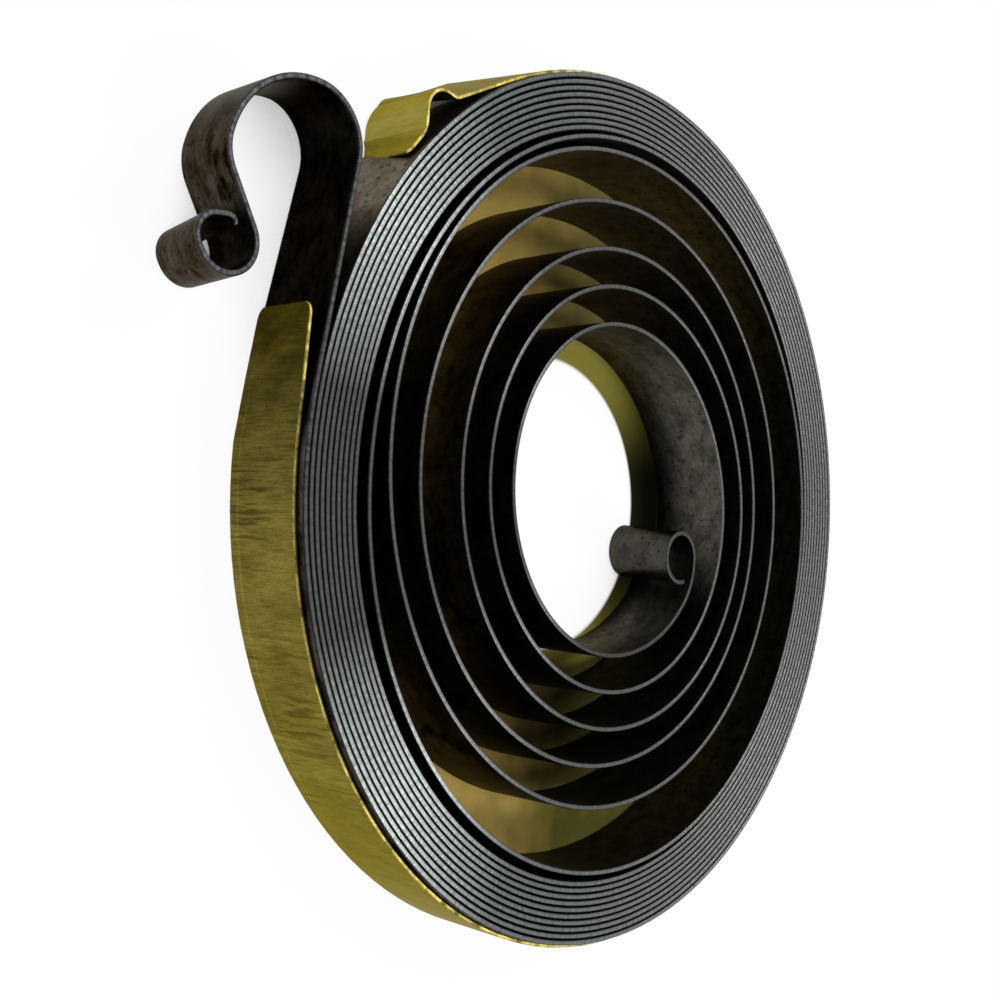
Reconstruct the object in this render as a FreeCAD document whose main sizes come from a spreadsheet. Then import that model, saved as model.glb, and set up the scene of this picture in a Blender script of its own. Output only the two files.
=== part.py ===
import FreeCAD, Part
import math
import os
from collections import namedtuple
from FreeCAD import Vector

# A flat spiral recoil spring and the sheet band that holds it wound, in millimetres.
#
# Z is the coil's axis. The coil lies on its back edge at z = 0, and its front edge is at
# z = strip_width. Angles run from +X towards +Y. Seen from the front, the strip winds inward
# anticlockwise: turn 0 is at the left (180 degrees), a quarter turn later it is at the bottom.

LEFT_ANGLE = math.pi
FULL_TURN = 2 * math.pi
DEGREES_PER_TURN = 360
DEGREES_PER_STEP = 22.5
ARC_BOW = 1e-6

SIZES = {
    "strip_width": 8.0,
    "strip_thickness": 0.44,
    "coil_diameter": 79.0,
    # The pack: close turns whose gap widens from the left to the right of the coil.
    "pack_turns": 9.5,
    "pack_gap_left": 0.06,
    "pack_gap_right": 0.21,
    # The open turns are a little oval, with the long way of the oval near upright.
    "oval_size": 0.75,
    "oval_angle": 104.0,
    "open_turns": 15.36,
    # The inner end bends in from the last open turn and rolls up into an eye. It is twisted, and
    # the lean grows over the last twist_turns of the coil.
    "twist_turns": 0.24,
    "neck_radius": 6.6,
    "neck_angle": 44.2,
    "eye_radius": 2.4,
    "eye_angle": 290.0,
    "eye_lean": 1.55,
    "eye_lean_angle": 15.0,
    # The outer end leaves the coil along a straight leg, bends over in a loop and ends in a curl.
    "leg_angle": 166.0,
    "leg_run": 16.1,
    "shoulder_radius": 3.9,
    "shoulder_angle": 96.5,
    "crown_radius": 7.2,
    "crown_angle": 79.5,
    "cheek_radius": 3.5,
    "cheek_angle": 42.5,
    "throat_run": 3.9,
    "curl_radius": 2.3,
    "curl_angle": 180.0,
    "curl_run": 0.2,
    "lip_radius": 1.6,
    "lip_angle": 111.0,
    "lip_run": 0.7,
    "tip_radius": 0.9,
    "tip_angle": 70.0,
    # The hook is twisted: how far its back edge stands off from its front edge, and which way.
    "loop_lean": 1.85,
    "loop_lean_angle": 35.0,
    "curl_lean": 2.35,
    "curl_lean_angle": 2.0,
    # The band lies on the outermost turn, flush with the coil's back edge.
    "band_width": 7.3,
    "band_thickness": 0.3,
    "band_play": 0.03,
    # Its left end runs straight off the coil, and the last of it is twisted to lie along the leg.
    "band_end_angle": 172.5,
    "band_end_run": 4.5,
    "band_tip_run": 5.2,
    "band_tip_lean": 1.2,
    "band_tip_lean_angle": 15.0,
    # Its upper end lifts off the coil at the back, dips to a foot, rises in a hump and ends in a tab.
    "lift_angle": 98.0,
    "rise_angle": 115.0,
    "rise_run": 7.1,
    "rise_lean": 1.1,
    "foot_radius": 0.9,
    "foot_angle": 41.0,
    "foot_lean": 1.4,
    "hump_run": 0.5,
    "hump_radius": 1.9,
    "hump_angle": 100.0,
    "hump_lean": 1.0,
    "hump_lean_angle": 5.0,
    "drop_run": 1.0,
    "tab_bend_radius": 2.5,
    "tab_bend_angle": 37.0,
    "tab_run": 2.1,
    "tab_lean": 1.9,
    "tab_lean_angle": 43.0,
}

# Clear gap between each open turn and the turn outside it, from the outermost gap inward,
# at the four places that the strip passes in this order.
OPEN_GAPS = {
    "top": (0.20, 1.20, 4.60, 3.75, 2.90, 3.05),
    "left": (1.00, 1.10, 2.65, 4.15, 2.85, 2.45),
    "bottom": (0.35, 6.25, 3.45, 2.55, 2.95, 3.00),
    "right": (0.30, 5.40, 3.85, 2.10, 3.20, 2.65),
}

# A place on a strip's middle line: its point at the front edge, the heading there in radians, and
# the lean, which is how far the back edge stands off to the side from the front edge.
Station = namedtuple("Station", "point heading lean")
UPRIGHT = Vector(0, 0, 0)


def fill_sheet(doc):
    """Put the driving dimensions in a spreadsheet, one aliased cell each."""
    sheet = doc.addObject("Spreadsheet::Sheet", "Sizes")
    sizes = dict(SIZES)
    for place, gaps in OPEN_GAPS.items():
        for turn, gap in enumerate(gaps, start=1):
            sizes[f"{place}_gap_{turn}"] = gap
    for row, (name, value) in enumerate(sizes.items(), start=1):
        sheet.set(f"A{row}", name.replace("_", " "))
        sheet.set(f"B{row}", str(value))
        sheet.setAlias(f"B{row}", name)
    doc.recompute()
    return sheet


def turned(heading):
    """Unit vector of a heading given in radians."""
    return Vector(math.cos(heading), math.sin(heading), 0)


def pack_radius(sheet, turn):
    """Radius of the strip's middle line while the turns lie close."""
    gap_middle = (sheet.pack_gap_right + sheet.pack_gap_left) / 2
    gap_swing = (sheet.pack_gap_right - sheet.pack_gap_left) / 2
    step = sheet.strip_thickness + gap_middle - gap_swing * math.cos(FULL_TURN * turn)
    return (sheet.coil_diameter - sheet.strip_thickness) / 2 - step * turn


def open_spring_curve(sheet):
    """Smooth curve of radius (its y) against turn (its x) from the last turn of the pack inward."""
    knots_per_turn = len(OPEN_GAPS)
    knots = []
    for index in range(knots_per_turn + 1):
        turn = sheet.pack_turns - 1 + index / knots_per_turn
        knots.append(Vector(turn, pack_radius(sheet, turn), 0))
    for number in range(1, len(OPEN_GAPS["top"]) + 1):
        for place in OPEN_GAPS:
            gap = getattr(sheet, f"{place}_gap_{number}")
            one_turn_outside = knots[-knots_per_turn]
            radius = one_turn_outside.y - sheet.strip_thickness - gap
            knots.append(Vector(one_turn_outside.x + 1, radius, 0))
    curve = Part.BSplineCurve()
    curve.interpolate(Points=knots, Parameters=[knot.x for knot in knots])
    return curve


def outer_turn_at(angle):
    """The turn of the outermost coil at an angle in degrees, which may run on past 360."""
    return (math.radians(angle) - LEFT_ANGLE) / FULL_TURN


def spiral_radius(sheet, open_curve, turn):
    """Radius of the strip's middle line at any turn of the coil.

    The oval fades in over the second half of the first open turn.
    """
    if turn <= sheet.pack_turns:
        return pack_radius(sheet, turn)
    fade = min(max(2 * (turn - sheet.pack_turns - 1), 0.0), 1.0)
    smooth_fade = fade * fade * (3 - 2 * fade)
    angle = LEFT_ANGLE + FULL_TURN * turn
    oval = math.cos(2 * (angle - math.radians(sheet.oval_angle)))
    return open_curve.value(turn).y + sheet.oval_size * oval * smooth_fade


def spiral_station(sheet, open_curve, turn, lean):
    """The strip's middle line at one turn of the coil."""
    nudge = 0.001
    angle = LEFT_ANGLE + FULL_TURN * turn
    radius = spiral_radius(sheet, open_curve, turn)
    outside = spiral_radius(sheet, open_curve, turn - nudge)
    inside = spiral_radius(sheet, open_curve, turn + nudge)
    slope = (inside - outside) / (2 * nudge * FULL_TURN)
    heading = angle + math.pi / 2 - math.atan2(slope, radius)
    return Station(turned(angle) * radius, heading, lean)


def even_steps(degrees):
    """An even number of steps for a bend, so that every second station is the middle of an arc."""
    return 2 * max(1, math.ceil(abs(degrees) / (2 * DEGREES_PER_STEP)))


def wind(sheet, open_curve, first_turn, last_turn, end_lean):
    """Stations along the coil from one turn to another, the lean growing evenly from upright."""
    steps = even_steps(DEGREES_PER_TURN * (last_turn - first_turn))
    step = (last_turn - first_turn) / steps
    return [
        spiral_station(sheet, open_curve, first_turn + index * step, end_lean * (index / steps))
        for index in range(steps + 1)
    ]


def run_length(size, degrees):
    """Length of a straight run, or of a bend given by its radius and angle."""
    return size * math.radians(abs(degrees)) if degrees else size


def follow(start, moves, end_lean):
    """Stations from a start along moves: (length, 0) runs straight, (radius, degrees) bends left.

    A bend with negative degrees goes right. The lean grows evenly to end_lean at the end.
    """
    stations = [start]
    whole_length = sum(run_length(size, degrees) for size, degrees in moves)
    for size, degrees in moves:
        steps = even_steps(degrees)
        lean_step = (end_lean - start.lean) * (run_length(size, degrees) / whole_length / steps)
        turn = math.radians(degrees) / steps
        for _ in range(steps):
            last = stations[-1]
            if degrees:
                to_centre = math.copysign(size, degrees)
                centre = last.point + turned(last.heading + math.pi / 2) * to_centre
                point = centre - turned(last.heading + turn + math.pi / 2) * to_centre
            else:
                point = last.point + turned(last.heading) * (size / steps)
            stations.append(Station(point, last.heading + turn, last.lean + lean_step))
    return stations


def about_turn(station):
    """The same station, headed the other way."""
    return Station(station.point, station.heading + math.pi, station.lean)


def backwards(stations):
    """The same line followed the other way."""
    return [about_turn(station) for station in reversed(stations)]


def smooth_edges(points):
    """One arc through each three points, or a straight edge where the three are in line."""
    edges = []
    for first, middle, last in zip(points[0:-2:2], points[1::2], points[2::2]):
        bow = (middle - first).cross(last - middle).Length
        if bow < ARC_BOW:
            edges.append(Part.LineSegment(first, last).toShape())
        else:
            edges.append(Part.Arc(first, middle, last).toShape())
    return edges


def side_points(stations, offset, lean_share):
    """Points to the left of the stations by the offset, at the front edge (lean share 0) or the back (1)."""
    return [
        station.point + turned(station.heading + math.pi / 2) * offset + station.lean * lean_share
        for station in stations
    ]


def outline_edges(stations, thickness, lean_share):
    """Closed outline of a strip of even thickness, as a list of edges."""
    right = side_points(stations, -thickness / 2, lean_share)
    left = side_points(stations, thickness / 2, lean_share)
    left.reverse()
    last_end = Part.LineSegment(right[-1], left[0]).toShape()
    first_end = Part.LineSegment(left[-1], right[0]).toShape()
    return smooth_edges(right) + [last_end] + smooth_edges(left) + [first_end]


def lean_vector(size, angle):
    """The lean given by how far and which way in degrees."""
    return turned(math.radians(angle)) * size


def tail_path(sheet, root):
    """Stations of the hook, from the coil out to the tip of its curl."""
    leg_and_shoulder = [
        (sheet.leg_run, 0),
        (sheet.shoulder_radius, sheet.shoulder_angle),
    ]
    loop_and_curl = [
        (sheet.crown_radius, sheet.crown_angle),
        (sheet.cheek_radius, sheet.cheek_angle),
        (sheet.throat_run, 0),
        (sheet.curl_radius, -sheet.curl_angle),
        (sheet.curl_run, 0),
        (sheet.lip_radius, -sheet.lip_angle),
        (sheet.lip_run, 0),
        (sheet.tip_radius, -sheet.tip_angle),
    ]
    near = follow(root, leg_and_shoulder, lean_vector(sheet.loop_lean, sheet.loop_lean_angle))
    far = follow(near[-1], loop_and_curl, lean_vector(sheet.curl_lean, sheet.curl_lean_angle))
    return near + far[1:]


def strip_path(sheet):
    """Stations of the whole spring strip, from the tip of the hook to the end of the eye."""
    open_curve = open_spring_curve(sheet)
    root_turn = outer_turn_at(sheet.leg_angle)
    twist_turn = sheet.open_turns - sheet.twist_turns
    eye_lean = lean_vector(sheet.eye_lean, sheet.eye_lean_angle)
    coil = wind(sheet, open_curve, root_turn, twist_turn, UPRIGHT)
    twist = wind(sheet, open_curve, twist_turn, sheet.open_turns, eye_lean)
    tail = backwards(tail_path(sheet, about_turn(coil[0])))
    inner_moves = [(sheet.neck_radius, sheet.neck_angle), (sheet.eye_radius, sheet.eye_angle)]
    inner_end = follow(twist[-1], inner_moves, eye_lean)
    return tail[:-1] + coil[:-1] + twist[:-1] + inner_end


def on_the_coil(sheet, first_angle, last_angle, end_lean):
    """Stations of the band where it lies on the outermost turn, from one angle in degrees to another."""
    open_curve = open_spring_curve(sheet)
    first_turn = outer_turn_at(first_angle)
    last_turn = outer_turn_at(last_angle)
    off_the_strip = sheet.strip_thickness / 2 + sheet.band_play + sheet.band_thickness / 2
    return [
        station._replace(point=station.point - turned(station.heading + math.pi / 2) * off_the_strip)
        for station in wind(sheet, open_curve, first_turn, last_turn, end_lean)
    ]


def band_path(sheet):
    """Stations of the band's middle line, from its left end round the coil to the tip of its tab."""
    lift = sheet.lift_angle + DEGREES_PER_TURN
    rise = sheet.rise_angle + DEGREES_PER_TURN
    level = on_the_coil(sheet, sheet.band_end_angle, lift, UPRIGHT)
    rise_lean = lean_vector(sheet.rise_lean, sheet.rise_angle)
    lifting = on_the_coil(sheet, lift, rise, rise_lean)

    end_run = follow(about_turn(level[0]), [(sheet.band_end_run, 0)], UPRIGHT)
    tip_lean = lean_vector(sheet.band_tip_lean, sheet.band_tip_lean_angle)
    left_end = backwards(end_run[:-1] + follow(end_run[-1], [(sheet.band_tip_run, 0)], tip_lean))

    foot_moves = [(sheet.rise_run, 0), (sheet.foot_radius, -sheet.foot_angle)]
    foot = follow(lifting[-1], foot_moves, lean_vector(sheet.foot_lean, sheet.rise_angle))
    hump_moves = [(sheet.hump_run, 0), (sheet.hump_radius, sheet.hump_angle)]
    hump = follow(foot[-1], hump_moves, lean_vector(sheet.hump_lean, sheet.hump_lean_angle))
    tab_moves = [
        (sheet.drop_run, 0),
        (sheet.tab_bend_radius, -sheet.tab_bend_angle),
        (sheet.tab_run, 0),
    ]
    tab = follow(hump[-1], tab_moves, lean_vector(sheet.tab_lean, sheet.tab_lean_angle))
    return left_end[:-1] + level[:-1] + lifting[:-1] + foot[:-1] + hump[:-1] + tab


def origin_plane(body, role):
    """One of a body's own origin planes, by its role."""
    return next(feature for feature in body.Origin.OriginFeatures if feature.Role == role)


def add_outline(body, name, stations, thickness, lean_share):
    """A sketch of one edge of a strip: the outline between its two sides, on the body's XY plane."""
    sketch = body.newObject("Sketcher::SketchObject", name)
    sketch.AttachmentSupport = [(origin_plane(body, "XY_Plane"), "")]
    sketch.MapMode = "FlatFace"
    edges = outline_edges(stations, thickness, lean_share)
    sketch.addGeometry([edge_geometry(edge) for edge in edges], False)
    return sketch


def make_ribbon(doc, name, stations, thickness, width_cell):
    """A bent strip: straight faces from the outline of its front edge to that of its back edge."""
    body = doc.addObject("PartDesign::Body", name)
    body.Label = name
    back = add_outline(body, f"{name}_back", stations, thickness, 1)
    front = add_outline(body, f"{name}_front", stations, thickness, 0)
    front.setExpression("AttachmentOffset.Base.z", f"Sizes.{width_cell}")
    loft = body.newObject("PartDesign::AdditiveLoft", f"{name}_loft")
    loft.Profile = front
    loft.Sections = [back]
    loft.Ruled = True
    doc.recompute()
    return body


def make_strip(doc, sheet):
    """The spring strip."""
    return make_ribbon(doc, "spring_strip", strip_path(sheet), sheet.strip_thickness, "strip_width")


def make_band(doc, sheet):
    """The retaining band."""
    return make_ribbon(doc, "retaining_band", band_path(sheet), sheet.band_thickness, "band_width")


def edge_geometry(edge):
    """The line or arc of an edge, trimmed to its ends, for a sketch."""
    if isinstance(edge.Curve, Part.Line):
        return Part.LineSegment(edge.Vertexes[0].Point, edge.Vertexes[-1].Point)
    return Part.ArcOfCircle(edge.Curve, edge.FirstParameter, edge.LastParameter)


def check_built(doc, nodes):
    """Stop if any object failed, or any piece has no valid solid."""
    for item in doc.Objects:
        if "Invalid" in item.State or "Error" in item.State:
            raise RuntimeError(f"{item.Label} failed")
    for node in nodes:
        if node.Shape.isNull() or not node.Shape.isValid() or len(node.Shape.Solids) != 1:
            raise RuntimeError(f"{node.Label} is not one valid solid")


def main():
    doc = FreeCAD.newDocument("RecoilSpring")
    sheet = fill_sheet(doc)
    nodes = [make_strip(doc, sheet), make_band(doc, sheet)]
    check_built(doc, nodes)
    os.makedirs("parts", exist_ok=True)
    for node in nodes:
        node.Shape.exportStep(f"parts/{node.Label}.step")
        print(node.Label, round(node.Shape.Volume, 1), "mm3")


main()
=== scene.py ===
import math
from collections import namedtuple

import bpy
import numpy as np
from mathutils import Matrix, Vector


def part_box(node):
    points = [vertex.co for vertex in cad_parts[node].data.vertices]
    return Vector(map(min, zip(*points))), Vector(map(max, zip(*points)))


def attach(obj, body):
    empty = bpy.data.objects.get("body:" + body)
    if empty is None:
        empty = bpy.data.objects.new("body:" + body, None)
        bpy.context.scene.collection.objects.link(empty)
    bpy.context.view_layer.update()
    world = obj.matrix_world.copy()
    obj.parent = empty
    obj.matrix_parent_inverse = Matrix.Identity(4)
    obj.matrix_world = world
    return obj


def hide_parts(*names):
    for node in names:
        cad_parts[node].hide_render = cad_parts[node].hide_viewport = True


# The wound spring strip and its retaining band, swept with rounded edges along nearly the same
# middle lines as the frame's solids, which they replace. Lengths are in millimetres until a mesh
# is made.
#
# Z is the coil's axis. The coil lies on its back edge at z = 0. Angles run from +X towards +Y.
# Seen from the front, the strip winds inward anticlockwise from turn 0 at the left.

MM = 0.001
FULL_TURN = 2 * math.pi

# How finely the lines are divided: along the coil, bends, straight runs and rounded ends, and
# round each corner of a section.
STEPS_PER_TURN = 144
DEGREES_PER_STEP = 4
STRAIGHT_STEP = 0.8
END_DEGREES = 10
CORNER_POINTS = 5
RING = 4 * CORNER_POINTS

# The share of the edges' radius that is gone at the very end of a strip.
EDGE_SHARPENING = 0.9

STRIP_THICKNESS = 0.44
STRIP_EDGE_RADIUS = 0.13
STRIP_END_RADIUS = 0.5
COIL_DIAMETER = 79.0
PACK_TURNS = 9.5
PACK_GAP_LEFT = 0.06
PACK_GAP_RIGHT = 0.21
OVAL_SIZE = 0.75
OVAL_ANGLE = 104.0
OPEN_TURNS = 15.36
TWIST_TURNS = 0.24

# Clear gap between each open turn and the turn outside it, from the outermost gap inward,
# at the four places that the strip passes in this order.
KNOTS_PER_TURN = 4
OPEN_GAPS = {
    "top": (0.20, 1.20, 4.60, 3.75, 2.90, 3.05),
    "left": (1.00, 1.10, 2.65, 4.15, 2.85, 2.45),
    "bottom": (0.35, 6.25, 3.45, 2.55, 2.95, 3.00),
    "right": (0.30, 5.40, 3.85, 2.10, 3.20, 2.65),
}

# Bends are (radius, degrees) to the left, or to the right with negative degrees; straight runs
# are (length, 0). A lean is how far the back edge stands off from the front edge, and which way.
NECK_AND_EYE = [(6.6, 44.2), (2.4, 290.0)]
EYE_LEAN = (1.55, 15.0)

LEG_ANGLE = 166.0
LEG_AND_SHOULDER = [(16.1, 0), (3.9, 96.5)]
LOOP_LEAN = (1.85, 35.0)
LOOP_AND_CURL = [
    (7.2, 79.5),
    (3.5, 42.5),
    (3.9, 0),
    (2.3, -180.0),
    (0.2, 0),
    (1.6, -111.0),
    (0.7, 0),
    (0.9, -70.0),
]
CURL_LEAN = (2.35, 2.0)

BAND_THICKNESS = 0.3
BAND_EDGE_RADIUS = 0.08
BAND_END_RADIUS = 0.9
BAND_PLAY = 0.03
BAND_END_ANGLE = 172.5
BAND_END_RUN = [(4.5, 0)]
BAND_END_LEAN = (0.5, 15.0)
BAND_TIP_RUN = [(5.2, 0)]
BAND_TIP_LEAN = (1.2, 15.0)
LIFT_ANGLE = 98.0
RISE_ANGLE = 115.0
RISE_LEAN = (1.1, RISE_ANGLE)
FOOT = [(7.1, 0), (0.9, -41.0)]
FOOT_LEAN = (1.15, 95.0)
HUMP_RISE = [(0.5, 0), (1.9, 50.0)]
HUMP_RISE_LEAN = (0.68, 29.0)
HUMP_FALL = [(1.9, 50.0)]
HUMP_FALL_LEAN = (0.34, -62.0)
TAB_BEND = [(1.0, 0), (2.5, -18.5)]
TAB_BEND_LEAN = (0.38, 51.0)
TAB_TIP = [(2.5, -18.5), (2.1, 0)]
TAB_LEAN = (2.34, 25.0)

# Lengths from the tip of the hook: the end of its brown convex side, where the outer side has
# painted shade, near black, and where it is worn bare.
HOOK_LENGTH = 52.0
SHADED_LEG_LENGTHS = (26.0, 57.0)
BARE_LENGTHS = (255.0, 330.0)

# Lengths back from the end of the eye: where the inner side is lighter with a painted reflection,
# and where the outer side and the edges begin to turn dull and have done so.
LIGHT_INNER_LENGTHS = (95.0, 12.0)
DULL_OUTER_LENGTHS = (22.0, 17.0)
DULL_EDGE_LENGTHS = (60.0, 30.0)

# Lengths from the band's plain end and back from its tip between which its stain and its bright
# tab begin and end.
STAIN_LENGTHS = (3.0, 18.0)
TAB_LENGTHS = (9.0, 6.0)

# The floor lies just under the coil. In the coil's hole a clear disc of it stays white; the rest
# under the coil has painted warm shade, which ends between two distances from the coil's centre.
FLOOR_HALF_SIDE = 3000.0
FLOOR_DROP = 0.02
FLOOR_THICKNESS = 1.0
COIL_CENTRE = (0.0, 0.0, 0.0)
SHADE_ENDS = (35.0, 38.0)
HOLE_ENDS = (15.0, 15.8)
CLEAR_DISC_PLACE = (-3.5, 0.3, 0.0)
CLEAR_DISC_EDGE = (13.6, 14.0)
SHADE_REACH = 25.0
SHADE_SAMPLES = 6
PLAIN_FLOOR_SHARE = 0.96

LAMP_STRENGTH = 1.3
LAMP_ANGLE = 24.0
FILL_STRENGTH = 0.35

CAMERA_PLACE = (-93.33, 1.61, 73.61)
CAMERA_RIGHT = (0.6625, 0.0, 0.7491)
CAMERA_UP = (0.0064, 1.0, -0.0057)
CAMERA_LENS = 43.956
SENSOR_WIDTH = 36.0
NEAREST_SEEN = 10.0

WHITE = (1.0, 1.0, 1.0, 1)

# Dark and pale colours of the mottled steel in each part of the strip.
INNER_STEEL = ((0.046, 0.041, 0.033, 1), (0.125, 0.113, 0.092, 1))
# Painted light on the inner side at the top of the coil.
LIT_UPPER_INNER_STEEL = ((0.13, 0.112, 0.085, 1), (0.27, 0.235, 0.185, 1))
# Painted reflection on the inner side along the innermost turn.
LIGHT_INNER_STEEL = ((0.085, 0.076, 0.058, 1), (0.165, 0.150, 0.118, 1))
OUTER_STEEL = ((0.034, 0.031, 0.026, 1), (0.105, 0.095, 0.080, 1))
BARE_STEEL = ((0.115, 0.100, 0.077, 1), (0.225, 0.200, 0.158, 1))
EYE_STEEL = ((0.040, 0.037, 0.030, 1), (0.074, 0.068, 0.058, 1))
HOOK_STEEL = ((0.022, 0.0195, 0.016, 1), (0.082, 0.073, 0.062, 1))
# Black patches, and also painted shade on the outer side of the hook's leg.
BLACK_AND_SHADED_STEEL = ((0.0035, 0.0034, 0.0031, 1), (0.0115, 0.0108, 0.0095, 1))
PIT_COLOUR = (0.008, 0.007, 0.005, 1)
SPECK_COLOUR = (0.26, 0.23, 0.16, 1)
STEEL_TINT = (0.44, 0.42, 0.385, 1)

EDGE_COLOURS = {
    "plain": (0.130, 0.140, 0.142, 1),
    "right": (0.275, 0.285, 0.270, 1),
    # Painted shade on the crests at the left.
    "left": (0.072, 0.075, 0.068, 1),
    # Painted highlight on the crests at the upper left and the lower left.
    "brightened": (0.45, 0.485, 0.46, 1),
    "open turns": (0.110, 0.105, 0.104, 1),
    "grime": (0.020, 0.022, 0.022, 1),
    # Painted shade on the flanks, down towards the gaps between the turns; lighter on the right.
    "flank": (0.020, 0.022, 0.027, 1),
    "right flank": (0.19, 0.20, 0.19, 1),
    "dark hook": (0.020, 0.021, 0.027, 1),
    "pale hook": (0.085, 0.082, 0.082, 1),
    "inner end": (0.045, 0.044, 0.040, 1),
}

BRASS_COLOURS = {
    "gold": (0.295, 0.243, 0.055, 1),
    "olive": (0.175, 0.142, 0.032, 1),
    "grain": (0.055, 0.043, 0.011, 1),
    "pit": (0.03, 0.023, 0.008, 1),
    "back line": (0.42, 0.34, 0.08, 1),
    "streak": (0.050, 0.038, 0.013, 1),
    "tab": (0.46, 0.38, 0.075, 1),
    # Painted highlight on the lower part of the band.
    "painted highlight": (0.33, 0.285, 0.090, 1),
    "stained end": (0.022, 0.018, 0.010, 1),
    "cut edge": (0.62, 0.52, 0.12, 1),
    "dull edge": (0.15, 0.12, 0.025, 1),
}
BRASS_TINT = (0.70, 0.62, 0.34, 1)

# Painted shade of the floor under the coil, with painted golden light in the open gaps.
SHADE_COLOURS = {
    "deep gap": (0.12, 0.085, 0.030, 1),
    "open gap": (0.95, 0.66, 0.18, 1),
    "upper right gap": (0.15, 0.122, 0.050, 1),
    "inner lower gap": (0.055, 0.045, 0.018, 1),
    "lower right gap": (0.036, 0.030, 0.013, 1),
    "dark rim": (0.02, 0.018, 0.008, 1),
    "olive rim": (0.34, 0.31, 0.055, 1),
}

Station = namedtuple("Station", "point heading lean")
Profile = namedtuple("Profile", "width thickness edge_radius end_radius")
UPRIGHT = np.zeros(2)


def turned(heading):
    """Unit vector of a heading given in radians."""
    return np.array([math.cos(heading), math.sin(heading)])


def lean_vector(lean):
    """The lean given by how far and which way in degrees."""
    size, angle = lean
    return turned(math.radians(angle)) * size


def pack_radius(turn):
    """Radius of the strip's middle line while the turns lie close."""
    gap_middle = (PACK_GAP_RIGHT + PACK_GAP_LEFT) / 2
    gap_swing = (PACK_GAP_RIGHT - PACK_GAP_LEFT) / 2
    step = STRIP_THICKNESS + gap_middle - gap_swing * math.cos(FULL_TURN * turn)
    return (COIL_DIAMETER - STRIP_THICKNESS) / 2 - step * turn


def open_radii():
    """Knots of radius from one turn before the end of the pack inward."""
    first_turn = PACK_TURNS - 1
    radii = [pack_radius(first_turn + knot / KNOTS_PER_TURN) for knot in range(KNOTS_PER_TURN + 1)]
    for gaps in zip(*OPEN_GAPS.values()):
        for gap in gaps:
            radii.append(radii[-KNOTS_PER_TURN] - STRIP_THICKNESS - gap)
    return np.array(radii)


def spline_bends(values):
    """Second differences at the knots of a natural cubic spline with even knots."""
    count = len(values)
    matrix = np.eye(count)
    wanted = np.zeros(count)
    for row in range(1, count - 1):
        matrix[row, row - 1 : row + 2] = (1, 4, 1)
        wanted[row] = 6 * (values[row - 1] - 2 * values[row] + values[row + 1])
    return np.linalg.solve(matrix, wanted)


KNOTS = open_radii()
BENDS = spline_bends(KNOTS)


def open_radius(turn):
    """Radius of the open turns' smooth curve through its knots."""
    place = (turn - PACK_TURNS + 1) * KNOTS_PER_TURN
    low = min(int(place), len(KNOTS) - 2)
    after = place - low
    before = 1 - after
    line = before * KNOTS[low] + after * KNOTS[low + 1]
    return line + ((before**3 - before) * BENDS[low] + (after**3 - after) * BENDS[low + 1]) / 6


def spiral_radius(turn):
    """Radius of the strip's middle line at any turn of the coil.

    The coil turns oval in the half turn that starts one turn after the pack's end.
    """
    if turn <= PACK_TURNS:
        return pack_radius(turn)
    fade = min(max(2 * (turn - PACK_TURNS - 1), 0.0), 1.0)
    oval = math.cos(2 * (math.pi + FULL_TURN * turn - math.radians(OVAL_ANGLE)))
    return open_radius(turn) + OVAL_SIZE * oval * fade * fade * (3 - 2 * fade)


def spiral_station(turn, lean):
    """The strip's middle line at one turn of the coil."""
    nudge = 0.001
    angle = math.pi + FULL_TURN * turn
    radius = spiral_radius(turn)
    slope = (spiral_radius(turn + nudge) - spiral_radius(turn - nudge)) / (2 * nudge * FULL_TURN)
    heading = angle + math.pi / 2 - math.atan2(slope, radius)
    return Station(turned(angle) * radius, heading, lean)


def wind(first_turn, last_turn, end_lean):
    """Stations along the coil from one turn to another, the lean growing evenly from upright."""
    steps = math.ceil((last_turn - first_turn) * STEPS_PER_TURN)
    return [
        spiral_station(first_turn + (last_turn - first_turn) * share, end_lean * share)
        for share in np.linspace(0, 1, steps + 1)
    ]


def run_length(size, degrees):
    """Length of a straight run, or of a bend given by its radius and angle."""
    return size * math.radians(abs(degrees)) if degrees else size


def follow(start, moves, end_lean):
    """Stations from a start along moves, the lean growing evenly to the end's."""
    stations = [start]
    whole_length = sum(run_length(size, degrees) for size, degrees in moves)
    for size, degrees in moves:
        steps = math.ceil(abs(degrees) / DEGREES_PER_STEP if degrees else size / STRAIGHT_STEP)
        lean_step = (end_lean - start.lean) * (run_length(size, degrees) / whole_length / steps)
        turn = math.radians(degrees) / steps
        for _ in range(steps):
            last = stations[-1]
            if degrees:
                to_centre = math.copysign(size, degrees)
                centre = last.point + turned(last.heading + math.pi / 2) * to_centre
                point = centre - turned(last.heading + turn + math.pi / 2) * to_centre
            else:
                point = last.point + turned(last.heading) * (size / steps)
            stations.append(Station(point, last.heading + turn, last.lean + lean_step))
    return stations


def about_turn(station):
    """The same station, headed the other way."""
    return Station(station.point, station.heading + math.pi, station.lean)


def backwards(stations):
    """The same line followed the other way."""
    return [about_turn(station) for station in reversed(stations)]


def strip_path():
    """Stations of the strip, from the tip of the hook to the end of the eye."""
    twist_turn = OPEN_TURNS - TWIST_TURNS
    coil = wind(LEG_ANGLE / 360 - 0.5, twist_turn, UPRIGHT)
    twist = wind(twist_turn, OPEN_TURNS, lean_vector(EYE_LEAN))
    near = follow(about_turn(coil[0]), LEG_AND_SHOULDER, lean_vector(LOOP_LEAN))
    far = follow(near[-1], LOOP_AND_CURL, lean_vector(CURL_LEAN))
    inner_end = follow(twist[-1], NECK_AND_EYE, lean_vector(EYE_LEAN))
    return backwards(near[:-1] + far)[:-1] + coil[:-1] + twist[:-1] + inner_end


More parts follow.
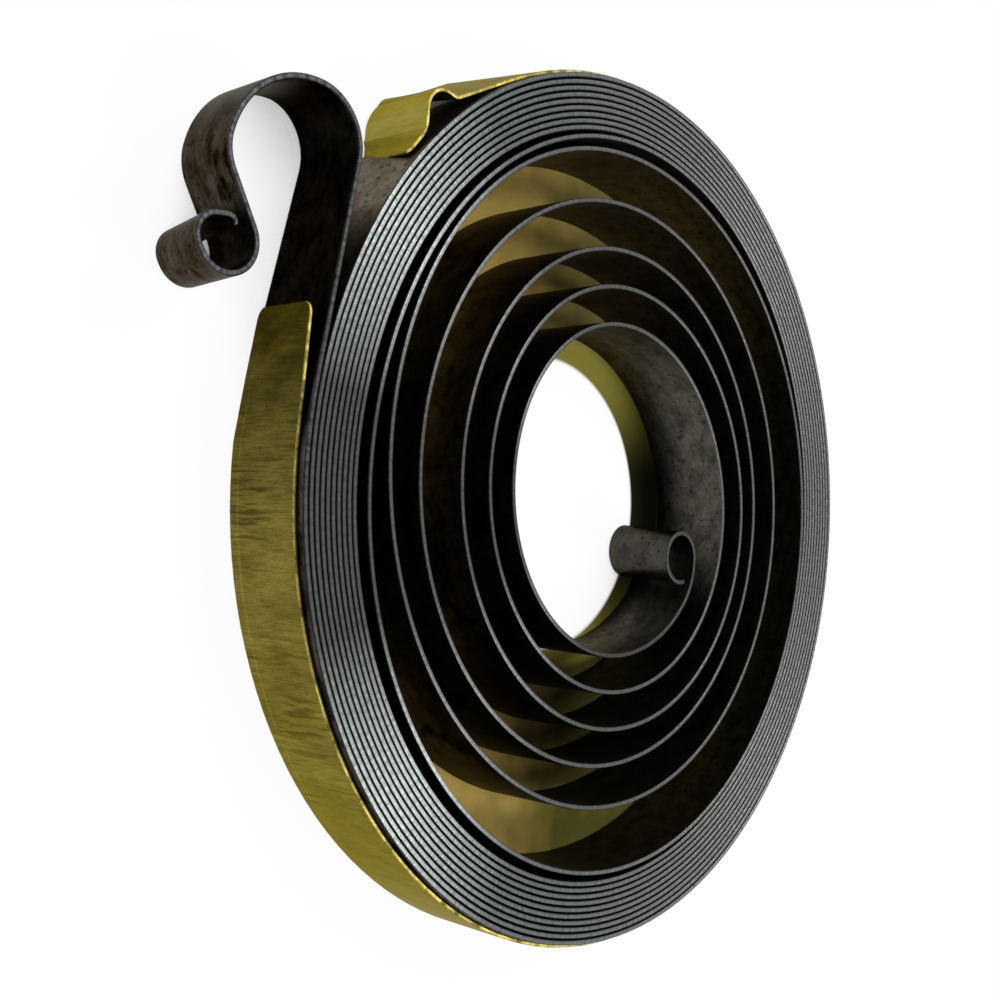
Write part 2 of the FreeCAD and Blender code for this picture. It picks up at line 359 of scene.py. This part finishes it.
def on_the_coil(first_angle, last_angle, end_lean):
    """Stations of the band where it lies on the outermost turn."""
    off_the_strip = STRIP_THICKNESS / 2 + BAND_PLAY + BAND_THICKNESS / 2
    return [
        station._replace(point=station.point - turned(station.heading + math.pi / 2) * off_the_strip)
        for station in wind(first_angle / 360 - 0.5, last_angle / 360 - 0.5, end_lean)
    ]


def band_path():
    """Stations of the band, from its left end round the coil to the tip of its tab."""
    lift = LIFT_ANGLE + 360
    rise = RISE_ANGLE + 360
    level = on_the_coil(BAND_END_ANGLE, lift, UPRIGHT)
    lifting = on_the_coil(lift, rise, lean_vector(RISE_LEAN))
    end_run = follow(about_turn(level[0]), BAND_END_RUN, lean_vector(BAND_END_LEAN))
    left_end = end_run[:-1] + follow(end_run[-1], BAND_TIP_RUN, lean_vector(BAND_TIP_LEAN))
    foot = follow(lifting[-1], FOOT, lean_vector(FOOT_LEAN))
    hump_rise = follow(foot[-1], HUMP_RISE, lean_vector(HUMP_RISE_LEAN))
    hump_fall = follow(hump_rise[-1], HUMP_FALL, lean_vector(HUMP_FALL_LEAN))
    tab_bend = follow(hump_fall[-1], TAB_BEND, lean_vector(TAB_BEND_LEAN))
    tab_tip = follow(tab_bend[-1], TAB_TIP, lean_vector(TAB_LEAN))
    round_the_coil = backwards(left_end)[:-1] + level[:-1] + lifting[:-1]
    hump = hump_rise[:-1] + hump_fall[:-1]
    return round_the_coil + foot[:-1] + hump + tab_bend[:-1] + tab_tip


def path_length(stations):
    """Length of the line through the stations."""
    points = np.array([station.point for station in stations])
    return float(np.linalg.norm(np.diff(points, axis=0), axis=1).sum())


STRIP_LENGTH = path_length(strip_path())
BAND_LENGTH = path_length(band_path())


def add_end_stations(stations, profile):
    """The stations with extra ones at both rounded ends, their lengths along the line, its length."""
    points = np.array([station.point for station in stations])
    headings = np.unwrap([station.heading for station in stations])
    leans = np.array([station.lean for station in stations])
    steps = np.linalg.norm(np.diff(points, axis=0), axis=1)
    lengths = np.concatenate([[0.0], np.cumsum(steps)])
    quarter = 1 - np.cos(np.radians(np.arange(0, 91, END_DEGREES)))
    near_end = np.concatenate([profile.end_radius * quarter, profile.edge_radius * quarter[1:-1]])
    is_inner = (lengths > profile.end_radius) & (lengths < lengths[-1] - profile.end_radius)
    places = np.concatenate([near_end, lengths[is_inner], lengths[-1] - near_end])
    places = np.unique(places.round(5))
    columns = (points[:, 0], points[:, 1], headings, leans[:, 0], leans[:, 1])
    rows = zip(*(np.interp(places, lengths, column) for column in columns))
    new = [Station(np.array([x, y]), heading, np.array(lean)) for x, y, heading, *lean in rows]
    return new, places, lengths[-1]


def rounding(to_end, radius):
    """How far a side draws in near an end for a rounded corner of this radius."""
    inward = max(radius - to_end, 0.0)
    return radius - math.sqrt(max(radius * radius - inward * inward, 0.0))


def section(half_thickness, low, high, radius):
    """Points (side, height) and normals round a strip's section with rounded corners."""
    corners = [
        (half_thickness - radius, high - radius, 0),
        (-half_thickness + radius, high - radius, 90),
        (-half_thickness + radius, low + radius, 180),
        (half_thickness - radius, low + radius, 270),
    ]
    points = []
    for side, height, start in corners:
        for angle in np.radians(np.linspace(start, start + 90, CORNER_POINTS)):
            normal = (math.cos(angle), math.sin(angle))
            points.append(((side + radius * normal[0], height + radius * normal[1]), normal))
    return points


def ring_vertices(station, to_end, profile):
    """The vertices round a strip at one station, in metres, and their normals."""
    corner = rounding(to_end, profile.end_radius)
    thin = rounding(to_end, profile.edge_radius)
    radius = profile.edge_radius - EDGE_SHARPENING * thin
    left = turned(station.heading + math.pi / 2)
    across = Vector((-station.lean[0], -station.lean[1], profile.width)).normalized()
    forward = Vector((*turned(station.heading), 0))
    side_normal = across.cross(forward).normalized()
    vertices = []
    normals = []
    for (side, height), (normal_side, normal_up) in section(
        profile.thickness / 2 - thin, corner, profile.width - corner, radius
    ):
        share = 1 - height / profile.width
        x, y = station.point + left * side + station.lean * share
        vertices.append((x * MM, y * MM, height * MM))
        normals.append((side_normal * normal_side + Vector((0, 0, normal_up))).normalized())
    return vertices, normals


def ring_faces(rings):
    """The faces between so many rings of vertices, and then the two end faces."""
    faces = []
    for base in range(0, (rings - 1) * RING, RING):
        for index in range(RING):
            after = (index + 1) % RING
            faces.append((base + index, base + after, base + RING + after, base + RING + index))
    last = (rings - 1) * RING
    return faces + [tuple(range(RING - 1, -1, -1)), tuple(range(last, last + RING))]


def add_object(name, data):
    """A new object in the scene."""
    added = bpy.data.objects.new(name, data)
    bpy.context.scene.collection.objects.link(added)
    return added


def sweep(name, stations, profile, materials):
    """A bent strip with rounded edges and corners.

    The materials are those of the coil's outer side, its inner side and the edges. The UV map
    "along" holds the length along the strip and the height across it, in metres.
    """
    stations, places, whole = add_end_stations(stations, profile)
    vertices = []
    normals = []
    lengthways = []
    for station, place in zip(stations, places):
        ring, ring_normals = ring_vertices(station, min(place, whole - place), profile)
        vertices += ring
        normals += ring_normals
        lengthways += [(place * MM, height) for _, _, height in ring]
    faces = ring_faces(len(stations))
    mesh = bpy.data.meshes.new(name)
    mesh.from_pydata(vertices, [], faces)
    for material in materials:
        mesh.materials.append(material)
    edge_slot = len(materials) - 1
    flat_slots = {RING // 2 - 1: 0, RING - 1: 1}
    slots = [flat_slots.get(face % RING, edge_slot) for face in range(len(faces))]
    mesh.polygons.foreach_set("material_index", slots)
    mesh.polygons.foreach_set("use_smooth", [True] * len(faces))
    corners = np.array([lengthways[loop.vertex_index] for loop in mesh.loops])
    mesh.uv_layers.new(name="along").uv.foreach_set("vector", corners.ravel())
    mesh.normals_split_custom_set_from_vertices(normals)
    mesh.validate()
    return add_object(name, mesh)


def new_material(name):
    """A new node material, its tree and its shader."""
    material = bpy.data.materials.new(name)
    material.use_nodes = True
    tree = material.node_tree
    return material, tree, tree.nodes["Principled BSDF"]


def add_node(tree, kind, values=(), **settings):
    """A shader node with its inputs' values set or linked."""
    node = tree.nodes.new(kind)
    for name, value in settings.items():
        setattr(node, name, value)
    for name, value in dict(values).items():
        connect(tree, value, node.inputs[name])
    return node


def connect(tree, value, socket):
    """Link another node's output to a socket, or set a plain value there."""
    if isinstance(value, bpy.types.NodeSocket):
        tree.links.new(value, socket)
    else:
        socket.default_value = value


def calculated(tree, operation, first, second=0.0):
    """The result of a math operation on two values, or on the first alone."""
    return add_node(tree, "ShaderNodeMath", {0: first, 1: second}, operation=operation).outputs[0]


def spread(tree, value, from_low, from_high, to_low=0.0, to_high=1.0, interpolation="LINEAR"):
    """A value mapped from one range to another, kept inside it."""
    values = {
        "Value": value,
        "From Min": from_low,
        "From Max": from_high,
        "To Min": to_low,
        "To Max": to_high,
    }
    node = add_node(tree, "ShaderNodeMapRange", values, interpolation_type=interpolation)
    return node.outputs["Result"]


def between(tree, value, low, high, fade):
    """A share of 1 where a value is between two others, fading to 0 on both sides."""
    rise = spread(tree, value, low, low + fade)
    fall = spread(tree, value, high - fade, high, 1.0, 0.0)
    return calculated(tree, "MULTIPLY", rise, fall)


def mixed(tree, share, first, second):
    """A colour between two others."""
    node = add_node(tree, "ShaderNodeMix", data_type="RGBA")
    values = {"Factor": share, "A": first, "B": second}
    for socket in node.inputs:
        if socket.enabled and socket.name in values:
            connect(tree, values[socket.name], socket)
    return next(output for output in node.outputs if output.enabled)


def noise(tree, place, scale, detail=3.0, roughness=0.55):
    """A noise value at a place, for so many waves a unit."""
    values = {"Vector": place, "Scale": scale, "Detail": detail, "Roughness": roughness}
    return add_node(tree, "ShaderNodeTexNoise", values).outputs["Fac"]


def strip_place(tree, along=1.0, across=1.0):
    """The length along the strip and the height across it in millimetres, each scaled."""
    place = add_node(tree, "ShaderNodeUVMap", uv_map="along").outputs["UV"]
    scale = (along / MM, across / MM, 1.0)
    return add_node(tree, "ShaderNodeMapping", {"Vector": place, "Scale": scale}).outputs["Vector"]


def strip_noise(tree, along, across, detail=3.0, roughness=0.55):
    """A noise value on the strip, for so many waves a millimetre along it and across it."""
    return noise(tree, strip_place(tree, along, across), 1.0, detail, roughness)


def strip_length_and_height(tree):
    """The length along the strip and the height across it, in millimetres."""
    place = add_node(tree, "ShaderNodeSeparateXYZ", {"Vector": strip_place(tree)})
    return place.outputs["X"], place.outputs["Y"]


def object_place(tree):
    """The object's own coordinates, in millimetres."""
    place = add_node(tree, "ShaderNodeTexCoord").outputs["Object"]
    values = {0: place, "Scale": 1 / MM}
    return add_node(tree, "ShaderNodeVectorMath", values, operation="SCALE").outputs["Vector"]


def object_axis(tree, axis):
    """One of the object's own coordinates, in millimetres."""
    return add_node(tree, "ShaderNodeSeparateXYZ", {"Vector": object_place(tree)}).outputs[axis]


def distance_from(tree, point):
    """How far a place is from a point, in millimetres."""
    values = {0: object_place(tree), 1: point}
    return add_node(tree, "ShaderNodeVectorMath", values, operation="DISTANCE").outputs["Value"]


def degrees_from_right(tree):
    """How far round the coil a place is from the right, either way, in degrees."""
    around = calculated(tree, "ARCTAN2", object_axis(tree, "Y"), object_axis(tree, "X"))
    return calculated(tree, "DEGREES", calculated(tree, "ABSOLUTE", around))


def finish_metal(tree, shader, colour, relief, roughness):
    """Bare metal, with a roughness that runs between two values as the relief rises."""
    tree.links.new(colour, shader.inputs["Base Color"])
    shader.inputs["Metallic"].default_value = 1.0
    tree.links.new(spread(tree, relief, 0.3, 0.7, *roughness), shader.inputs["Roughness"])


def emboss(tree, shader, relief, strength, depth):
    """Fine relief of a depth in millimetres."""
    values = {"Height": relief, "Strength": strength, "Distance": depth * MM}
    bump = add_node(tree, "ShaderNodeBump", values)
    tree.links.new(bump.outputs["Normal"], shader.inputs["Normal"])


def steel_base(tree, dark, pale):
    """Spring steel between two colours, softly mottled, with pits and a few bright specks."""
    mottle = strip_noise(tree, 0.45, 0.55, detail=8.0, roughness=0.75)
    pits = strip_noise(tree, 1.9, 1.7, detail=5.0, roughness=0.6)
    colour = mixed(tree, spread(tree, mottle, 0.38, 0.60), dark, pale)
    pitted = mixed(tree, spread(tree, pits, 0.57, 0.66, 0.0, 0.8), colour, PIT_COLOUR)
    return mixed(tree, spread(tree, pits, 0.27, 0.23, 0.0, 0.7), pitted, SPECK_COLOUR)


def blackened(tree, steel, low, high):
    """Steel with irregular black patches, from a noise value where they start to one inside."""
    blots = strip_noise(tree, 0.14, 0.16, detail=6.0, roughness=0.6)
    return mixed(tree, spread(tree, blots, low, high, 0.0, 0.85), steel, steel_base(tree, *BLACK_AND_SHADED_STEEL))


def finish_side(tree, shader, colour):
    """The gloss and the fine rolling lines of the strip's sides."""
    lines = strip_noise(tree, 0.3, 6.0)
    finish_metal(tree, shader, colour, lines, (0.32, 0.42))
    shader.inputs["Specular Tint"].default_value = STEEL_TINT
    emboss(tree, shader, lines, 0.12, 0.01)


def steel_inner():
    """The side of the strip that faces the coil's centre, which is the hook's convex side.

    It has painted light at the top of the coil and a painted reflection along the innermost turn,
    and is browner on the hook.
    """
    material, tree, shader = new_material("steel_inner")
    length, _ = strip_length_and_height(tree)
    # Painted light at the top of the coil, and a painted reflection along the innermost turn.
    upper = spread(tree, object_axis(tree, "Y"), 12.0, 32.0)
    innermost = between(tree, length, *(STRIP_LENGTH - back for back in LIGHT_INNER_LENGTHS), 18.0)
    on_hook = spread(tree, length, HOOK_LENGTH, HOOK_LENGTH + 8.0, 1.0, 0.0)
    coil = mixed(tree, upper, steel_base(tree, *INNER_STEEL), steel_base(tree, *LIT_UPPER_INNER_STEEL))
    lighter = mixed(tree, innermost, coil, steel_base(tree, *LIGHT_INNER_STEEL))
    hook = blackened(tree, steel_base(tree, *HOOK_STEEL), 0.50, 0.54)
    finish_side(tree, shader, mixed(tree, on_hook, lighter, hook))
    return material


def steel_outer():
    """The side of the strip that faces away from the centre, which is also the eye's outside.

    It has painted shade, near black, along the hook's leg, and is worn paler where the outermost
    turn lies bare.
    """
    material, tree, shader = new_material("steel_outer")
    length, _ = strip_length_and_height(tree)
    on_eye = spread(tree, length, *(STRIP_LENGTH - back for back in DULL_OUTER_LENGTHS))
    patched = blackened(tree, steel_base(tree, *OUTER_STEEL), 0.54, 0.60)
    coil = mixed(tree, on_eye, patched, steel_base(tree, *EYE_STEEL))
    brightened = mixed(tree, between(tree, length, *BARE_LENGTHS, 6.0), coil, steel_base(tree, *BARE_STEEL))
    # Painted shade: the outer side of the hook's leg is near black.
    on_leg = between(tree, length, *SHADED_LEG_LENGTHS, 2.5)
    finish_side(tree, shader, mixed(tree, on_leg, brightened, steel_base(tree, *BLACK_AND_SHADED_STEEL)))
    return material


def edge_crest(tree, from_right, speckle):
    """Worn blue-grey steel, with a painted highlight at the upper left and lower left, painted shade at
    the left.
    """
    on_right = spread(tree, from_right, 110.0, 50.0)
    # Painted shade at the left, and a painted highlight at the upper left and the lower left.
    on_left = spread(tree, from_right, 148.0, 168.0)
    brightened = between(tree, from_right, 122.0, 166.0, 20.0)
    opened = spread(tree, distance_from(tree, COIL_CENTRE), 33.0, 34.0, 0.6, 0.0)
    grime = spread(tree, speckle, 0.36, 0.60, 0.62, 0.0)
    tint = mixed(tree, on_right, EDGE_COLOURS["plain"], EDGE_COLOURS["right"])
    for share, name in ((on_left, "left"), (brightened, "brightened"), (opened, "open turns"), (grime, "grime")):
        tint = mixed(tree, share, tint, EDGE_COLOURS[name])
    return tint


def steel_edge():
    """The strip's rounded edges: worn steel on their crest, painted shade at their flanks, dark on the
    hook.
    """
    material, tree, shader = new_material("steel_edge")
    length, _ = strip_length_and_height(tree)
    normal = add_node(tree, "ShaderNodeNewGeometry").outputs["Normal"]
    up = add_node(tree, "ShaderNodeSeparateXYZ", {"Vector": normal}).outputs["Z"]
    from_right = degrees_from_right(tree)
    speckle = strip_noise(tree, 2.0, 5.0, detail=7.0, roughness=0.75)
    on_right = spread(tree, from_right, 110.0, 50.0)
    on_crest = spread(tree, calculated(tree, "ABSOLUTE", up), 0.40, 0.85)
    on_hook = between(tree, length, -2.0, SHADED_LEG_LENGTHS[1] + 4.0, 2.0)
    inner_end = spread(tree, length, *(STRIP_LENGTH - back for back in DULL_EDGE_LENGTHS), 0.0, 0.65)
    patchy = spread(tree, speckle, 0.40, 0.62)
    # Painted shade on the flanks, lighter on the right.
    flank = mixed(tree, on_right, EDGE_COLOURS["flank"], EDGE_COLOURS["right flank"])
    coil = mixed(tree, on_crest, flank, edge_crest(tree, from_right, speckle))
    hook = mixed(tree, patchy, EDGE_COLOURS["dark hook"], EDGE_COLOURS["pale hook"])
    colour = mixed(tree, inner_end, mixed(tree, on_hook, coil, hook), EDGE_COLOURS["inner end"])
    finish_metal(tree, shader, colour, speckle, (0.50, 0.38))
    emboss(tree, shader, speckle, 0.05, 0.01)
    return material


def brass_sheet(tree, height, grain, stains):
    """Olive-gold brass with a grain across it, specks, few pits and a pale line at its back."""
    specks = strip_noise(tree, 9.0, 9.0)
    pits = strip_noise(tree, 1.6, 1.9, detail=2.0)
    back_line = calculated(tree, "MULTIPLY", between(tree, height, 0.75, 1.15, 0.15), 0.22)
    sheet = mixed(tree, spread(tree, stains, 0.36, 0.62), BRASS_COLOURS["olive"], BRASS_COLOURS["gold"])
    sheet = mixed(tree, spread(tree, grain, 0.34, 0.56, 0.75, 0.0), sheet, BRASS_COLOURS["grain"])
    sheet = mixed(tree, spread(tree, specks, 0.36, 0.50, 0.45, 0.0), sheet, BRASS_COLOURS["grain"])
    sheet = mixed(tree, spread(tree, pits, 0.70, 0.74, 0.0, 0.85), sheet, BRASS_COLOURS["pit"])
    return mixed(tree, back_line, sheet, BRASS_COLOURS["back line"])


def brass_wear(tree, sheet, length, stains):
    """The sheet with clusters of dark streaks, a bright tab, a painted highlight low down and a stained
    end.
    """
    streaks = strip_noise(tree, 2.4, 0.16, detail=4.0, roughness=0.6)
    clusters = strip_noise(tree, 0.11, 0.10, detail=2.0)
    streaked = calculated(
        tree, "MULTIPLY", spread(tree, streaks, 0.50, 0.60, 0.0, 0.75), spread(tree, clusters, 0.42, 0.56)
    )
    on_tab = spread(tree, length, *(BAND_LENGTH - back for back in TAB_LENGTHS), 0.0, 0.45)
    # Painted highlight on the lower part of the band.
    low_down = spread(tree, object_axis(tree, "Y"), -12.0, -32.0, 0.0, 0.55)
    near_end = spread(tree, length, *STAIN_LENGTHS, 1.0, 0.0)
    stained = calculated(tree, "MULTIPLY", near_end, spread(tree, stains, 0.40, 0.62, 1.0, 0.72))
    worn = mixed(tree, streaked, sheet, BRASS_COLOURS["streak"])
    worn = mixed(tree, on_tab, worn, BRASS_COLOURS["tab"])
    worn = mixed(tree, low_down, worn, BRASS_COLOURS["painted highlight"])
    return mixed(tree, stained, worn, BRASS_COLOURS["stained end"])


def band_face():
    """The band's two faces."""
    material, tree, shader = new_material("band_face")
    length, height = strip_length_and_height(tree)
    grain = strip_noise(tree, 11.0, 0.45, detail=6.0, roughness=0.7)
    stains = strip_noise(tree, 0.35, 0.15, detail=6.0, roughness=0.6)
    colour = brass_wear(tree, brass_sheet(tree, height, grain, stains), length, stains)
    finish_metal(tree, shader, colour, grain, (0.46, 0.34))
    shader.inputs["Specular Tint"].default_value = BRASS_TINT
    emboss(tree, shader, grain, 0.25, 0.012)
    return material


def band_edge():
    """The band's cut edges, brighter and cleaner than its faces."""
    material, tree, shader = new_material("band_edge")
    wear = strip_noise(tree, 0.8, 2.5, detail=7.0, roughness=0.7)
    worn = spread(tree, wear, 0.42, 0.60)
    colour = mixed(tree, worn, BRASS_COLOURS["cut edge"], BRASS_COLOURS["dull edge"])
    finish_metal(tree, shader, colour, wear, (0.36, 0.5))
    return material


def add_strip():
    """The spring strip, in place of its node in the frame."""
    low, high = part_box("spring_strip")
    profile = Profile((high.z - low.z) / MM, STRIP_THICKNESS, STRIP_EDGE_RADIUS, STRIP_END_RADIUS)
    materials = [steel_outer(), steel_inner(), steel_edge()]
    piece = sweep("spring_steel_strip", strip_path(), profile, materials)
    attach(piece, "root")
    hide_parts("spring_strip")


def add_band():
    """The retaining band, in place of its node in the frame."""
    low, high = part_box("retaining_band")
    profile = Profile((high.z - low.z) / MM, BAND_THICKNESS, BAND_EDGE_RADIUS, BAND_END_RADIUS)
    face = band_face()
    piece = sweep("brass_retaining_band", band_path(), profile, [face, face, band_edge()])
    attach(piece, "root")
    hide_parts("retaining_band")


def matte_white(name):
    """A new matte white material, its tree and its shader."""
    material, tree, shader = new_material(name)
    shader.inputs["Base Color"].default_value = WHITE
    shader.inputs["Roughness"].default_value = 1.0
    shader.inputs["Specular IOR Level"].default_value = 0.0
    return material, tree, shader


def show_white(tree, shader, share):
    """Show plain white instead of a share of the shader, to the camera and in gloss and glass."""
    rays = add_node(tree, "ShaderNodeLightPath").outputs
    seen = calculated(tree, "MAXIMUM", rays["Is Camera Ray"], rays["Is Glossy Ray"])
    seen = calculated(tree, "MAXIMUM", seen, rays["Is Transmission Ray"])
    white = add_node(tree, "ShaderNodeEmission", {"Color": WHITE, "Strength": 1.0})
    shown = calculated(tree, "MULTIPLY", seen, share)
    values = {0: shown, 1: shader.outputs[0], 2: white.outputs[0]}
    both = add_node(tree, "ShaderNodeMixShader", values)
    tree.links.new(both.outputs[0], tree.nodes["Material Output"].inputs["Surface"])


def gap_shade(tree, openness):
    """Painted shade between the turns: painted golden light at the left, brown to the right and low down.
    """
    ripple = spread(tree, noise(tree, object_place(tree), 0.16, detail=2.0), 0.3, 0.7, -5.0, 5.0)
    rightward = calculated(tree, "ADD", object_axis(tree, "X"), ripple)
    to_upper_right = spread(tree, rightward, -7.0, 3.0, 0.0, 0.85)
    to_lower_right = spread(tree, rightward, -13.0, -1.0)
    inner = spread(tree, distance_from(tree, COIL_CENTRE), 21.0, 29.0, 0.75, 0.0)
    low_down = spread(tree, object_axis(tree, "Y"), -6.0, -14.0)
    opened = spread(tree, openness, 0.08, 0.22)
    left = mixed(tree, opened, SHADE_COLOURS["deep gap"], SHADE_COLOURS["open gap"])
    upper = mixed(tree, to_upper_right, left, SHADE_COLOURS["upper right gap"])
    lower = mixed(tree, inner, left, SHADE_COLOURS["inner lower gap"])
    lower = mixed(tree, to_lower_right, lower, SHADE_COLOURS["lower right gap"])
    return mixed(tree, low_down, upper, lower)


def rim_shade(tree):
    """The floor's painted shadow at the rim of the coil's hole: dark in the middle, olive up and down."""
    to_side = calculated(tree, "ABSOLUTE", object_axis(tree, "Y"))
    lit = spread(tree, to_side, 2.0, 15.0, interpolation="SMOOTHERSTEP")
    return mixed(tree, lit, SHADE_COLOURS["dark rim"], SHADE_COLOURS["olive rim"])


def floor_top():
    """Plain white, with painted warm shade under the coil and a clear disc in the coil's hole."""
    material, tree, shader = matte_white("floor")
    reach = {"Distance": SHADE_REACH * MM}
    openness = add_node(tree, "ShaderNodeAmbientOcclusion", reach, samples=SHADE_SAMPLES).outputs["AO"]
    from_centre = distance_from(tree, COIL_CENTRE)
    in_hole = spread(tree, from_centre, *HOLE_ENDS, 1.0, 0.0)
    by_hole = calculated(tree, "MAXIMUM", spread(tree, openness, 0.32, 0.42), in_hole)
    warm = mixed(tree, by_hole, gap_shade(tree, openness), rim_shade(tree))
    under_coil = spread(tree, from_centre, *SHADE_ENDS, 1.0, 0.0)
    past_disc = spread(tree, distance_from(tree, CLEAR_DISC_PLACE), *CLEAR_DISC_EDGE)
    shaded = calculated(tree, "MULTIPLY", under_coil, past_disc)
    tree.links.new(mixed(tree, shaded, WHITE, warm), shader.inputs["Base Color"])
    unshaded = calculated(tree, "SUBTRACT", 1.0, shaded)
    open_share = spread(tree, openness, 0.06, 0.26, 0.0, PLAIN_FLOOR_SHARE)
    show_white(tree, shader, calculated(tree, "MULTIPLY", open_share, unshaded))
    return material


def floor_underside():
    """Plain white."""
    material, tree, shader = matte_white("floor_underside")
    show_white(tree, shader, PLAIN_FLOOR_SHARE)
    return material


def add_floor():
    """A thin floor just under the coil."""
    side = FLOOR_HALF_SIDE * MM
    top = -FLOOR_DROP * MM
    bottom = top - FLOOR_THICKNESS * MM
    outline = [(-side, -side), (side, -side), (side, side), (-side, side)]
    vertices = [(x, y, z) for z in (top, bottom) for x, y in outline]
    mesh = bpy.data.meshes.new("floor")
    mesh.from_pydata(vertices, [], [(0, 1, 2, 3), (7, 6, 5, 4)])
    mesh.materials.append(floor_top())
    mesh.materials.append(floor_underside())
    mesh.polygons[1].material_index = 1
    add_object("floor", mesh)


def add_lamp(name, towards):
    """A soft distant lamp in one direction from the coil."""
    light = bpy.data.lights.new(name, "SUN")
    light.energy = LAMP_STRENGTH
    light.angle = math.radians(LAMP_ANGLE)
    lamp = add_object(name, light)
    lamp.rotation_euler = Vector(towards).to_track_quat("Z", "Y").to_euler()


def add_lights():
    """Two soft lamps above the coil, to its right, and an even fill."""
    add_lamp("upper_lamp", (0.41, 0.36, 0.84))
    add_lamp("lower_lamp", (0.41, -0.36, 0.84))
    world = bpy.data.worlds.new("studio")
    world.use_nodes = True
    background = world.node_tree.nodes["Background"]
    background.inputs["Color"].default_value = WHITE
    background.inputs["Strength"].default_value = FILL_STRENGTH
    bpy.context.scene.world = world


def add_camera():
    """The photograph's camera."""
    right = Vector(CAMERA_RIGHT).normalized()
    back = right.cross(Vector(CAMERA_UP)).normalized()
    up = back.cross(right)
    camera = bpy.data.cameras.new("camera")
    camera.sensor_width = SENSOR_WIDTH
    camera.lens = CAMERA_LENS
    camera.clip_start = NEAREST_SEEN * MM
    holder = add_object("camera", camera)
    turn = Matrix((right, up, back)).transposed().to_4x4()
    holder.matrix_world = Matrix.Translation(Vector(CAMERA_PLACE) * MM) @ turn
    bpy.context.scene.camera = holder


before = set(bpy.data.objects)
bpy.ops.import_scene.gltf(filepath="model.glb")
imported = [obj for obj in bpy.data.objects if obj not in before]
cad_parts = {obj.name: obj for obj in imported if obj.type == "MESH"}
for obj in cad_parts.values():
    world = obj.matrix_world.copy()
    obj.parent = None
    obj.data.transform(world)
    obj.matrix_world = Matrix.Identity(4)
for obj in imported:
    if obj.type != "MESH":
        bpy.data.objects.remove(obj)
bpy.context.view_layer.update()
add_strip()
add_band()
add_floor()
add_lights()
add_camera()
bpy.context.scene.view_settings.view_transform = "Standard"
